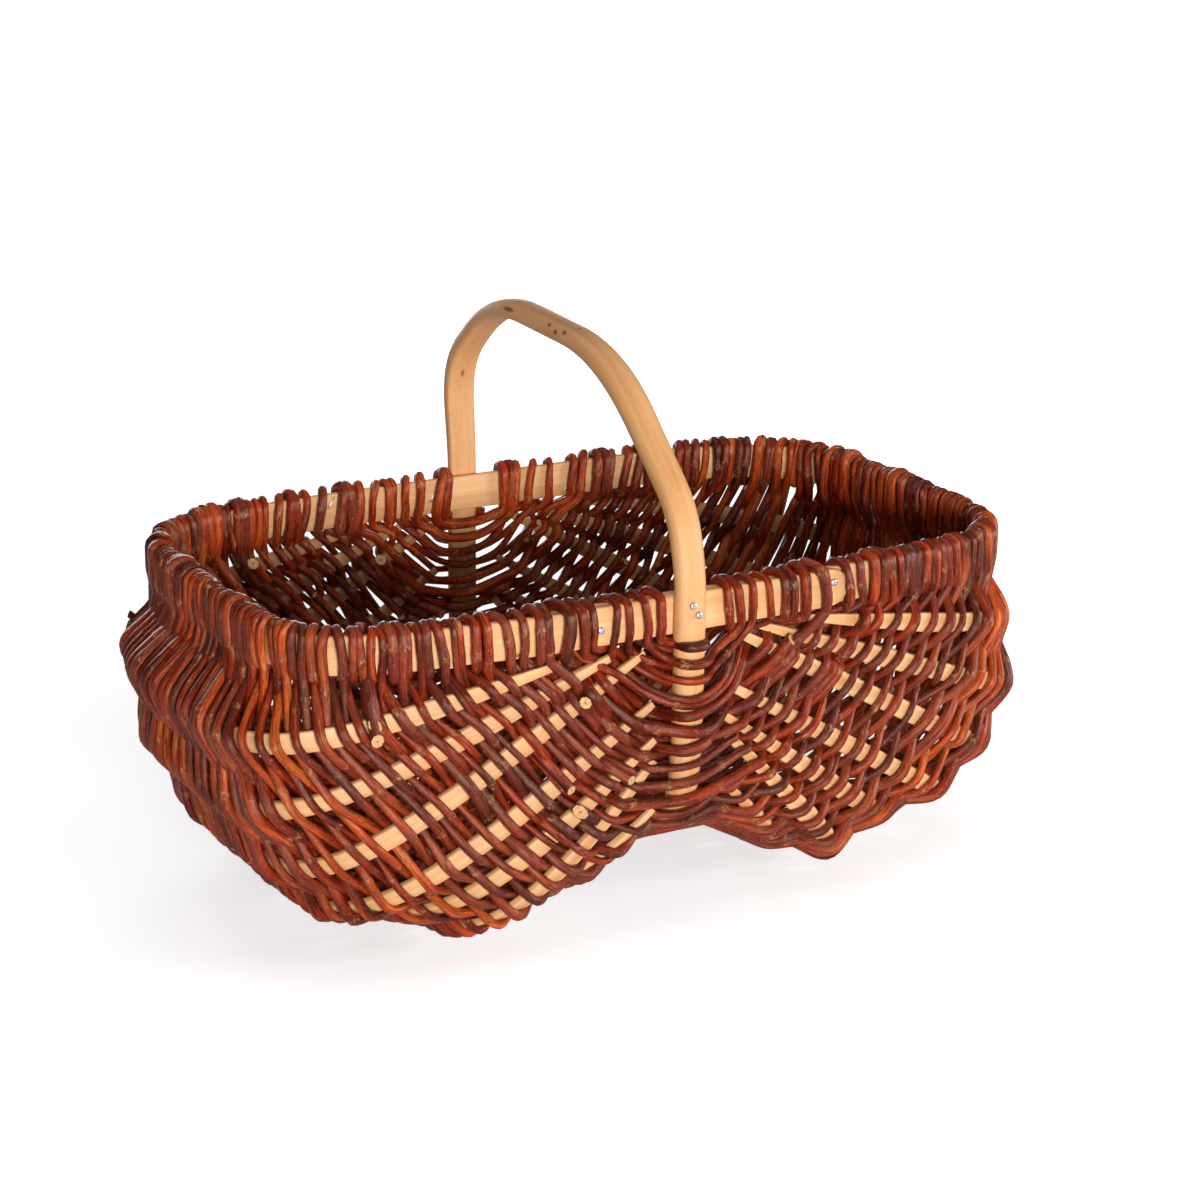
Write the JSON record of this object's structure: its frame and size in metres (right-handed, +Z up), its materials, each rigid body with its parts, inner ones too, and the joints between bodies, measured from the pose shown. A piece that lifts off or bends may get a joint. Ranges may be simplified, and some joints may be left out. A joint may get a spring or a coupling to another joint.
{
  "type": "gathering basket",
  "caption": "Oblong willow gathering basket with a bent wood handle hoop, a wrapped wood rim, split ribs fanning from two ears and a brown woven body with two lobes.",
  "frame": {"origin": "on the ground under the middle of the basket's box", "axes": "+X along the basket, -Y to the front side where the rim strip laps, +Z up to the handle"},
  "size_m": [0.5054, 0.2956, 0.3175],
  "materials": {
    "peeled_wood": "peeled and split wood strips, dry and satin, straw coloured with darker knots",
    "brown_willow": "unpeeled willow rods with satin red-brown bark, purple-brown and orange-brown in places",
    "steel": "bright zinc-coated wire and nail heads, a little dull"
  },
  "bodies": {
    "root": {"back_foot_nail_1": "steel", "back_foot_nail_2": "steel", "ear_rod_back_1": "brown_willow", "ear_rod_back_2": "brown_willow", "ear_rod_back_3": "brown_willow", "ear_rod_back_4": "brown_willow", "ear_rod_back_5": "brown_willow", "ear_rod_back_6": "brown_willow", "ear_rod_front_1": "brown_willow", "ear_rod_front_2": "brown_willow", "ear_rod_front_3": "brown_willow", "ear_rod_front_4": "brown_willow", "ear_rod_front_5": "brown_willow", "ear_rod_front_6": "brown_willow", "front_foot_nail_1": "steel", "front_foot_nail_2": "steel", "handle_hoop": "peeled_wood", "lap_nail_left": "steel", "lap_nail_right": "steel", "rib_left_1": "peeled_wood", "rib_left_2": "peeled_wood", "rib_left_3": "peeled_wood", "rib_left_4": "peeled_wood", "rib_left_5": "peeled_wood", "rib_left_6": "peeled_wood", "rib_left_7": "peeled_wood", "rib_right_1": "peeled_wood", "rib_right_2": "peeled_wood", "rib_right_3": "peeled_wood", "rib_right_4": "peeled_wood", "rib_right_5": "peeled_wood", "rib_right_6": "peeled_wood", "rib_right_7": "peeled_wood", "rim_hoop": "peeled_wood", "rim_staple_1": "steel", "rim_staple_2": "steel", "rim_staple_3": "steel", "rim_wrap_left": "brown_willow", "rim_wrap_right": "brown_willow", "weave_left_1": "brown_willow", "weave_left_2": "brown_willow", "weave_left_3": "brown_willow", "weave_left_4": "brown_willow", "weave_left_5": "brown_willow", "weave_left_6": "brown_willow", "weave_left_7": "brown_willow", "weave_left_8": "brown_willow", "weave_right_1": "brown_willow", "weave_right_2": "brown_willow", "weave_right_3": "brown_willow", "weave_right_4": "brown_willow", "weave_right_5": "brown_willow", "weave_right_6": "brown_willow", "weave_right_7": "brown_willow", "weave_right_8": "brown_willow"}
  },
  "joints": []
}
